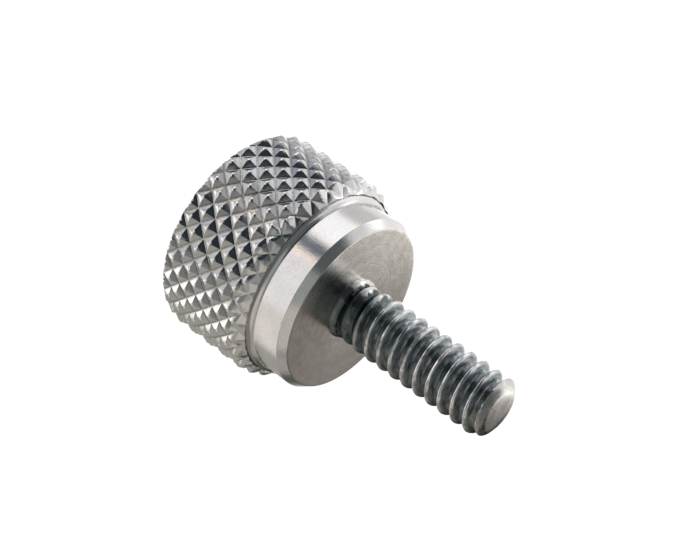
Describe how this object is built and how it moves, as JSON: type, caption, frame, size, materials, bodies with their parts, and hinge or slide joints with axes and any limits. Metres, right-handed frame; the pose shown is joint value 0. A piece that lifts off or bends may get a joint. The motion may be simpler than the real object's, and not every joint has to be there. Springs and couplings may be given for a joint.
{
  "type": "thumb screw",
  "caption": "Knurled thumb screw turned in one piece: diamond-knurled grip, smooth seating collar and a fine-threaded shank with a chamfered tip.",
  "frame": {"origin": "centre of the head's flat outer face, on which the screw stands", "axes": "+Z along the screw's axis, from the head to the tip of the shank; +X and +Y square to it"},
  "size_m": [0.0116, 0.0116, 0.0177],
  "materials": {
    "turned_steel": "turned stainless steel, bright, with fine lathe lines around the axis"
  },
  "bodies": {
    "root": {"thumb_screw": "turned_steel"}
  },
  "joints": []
}
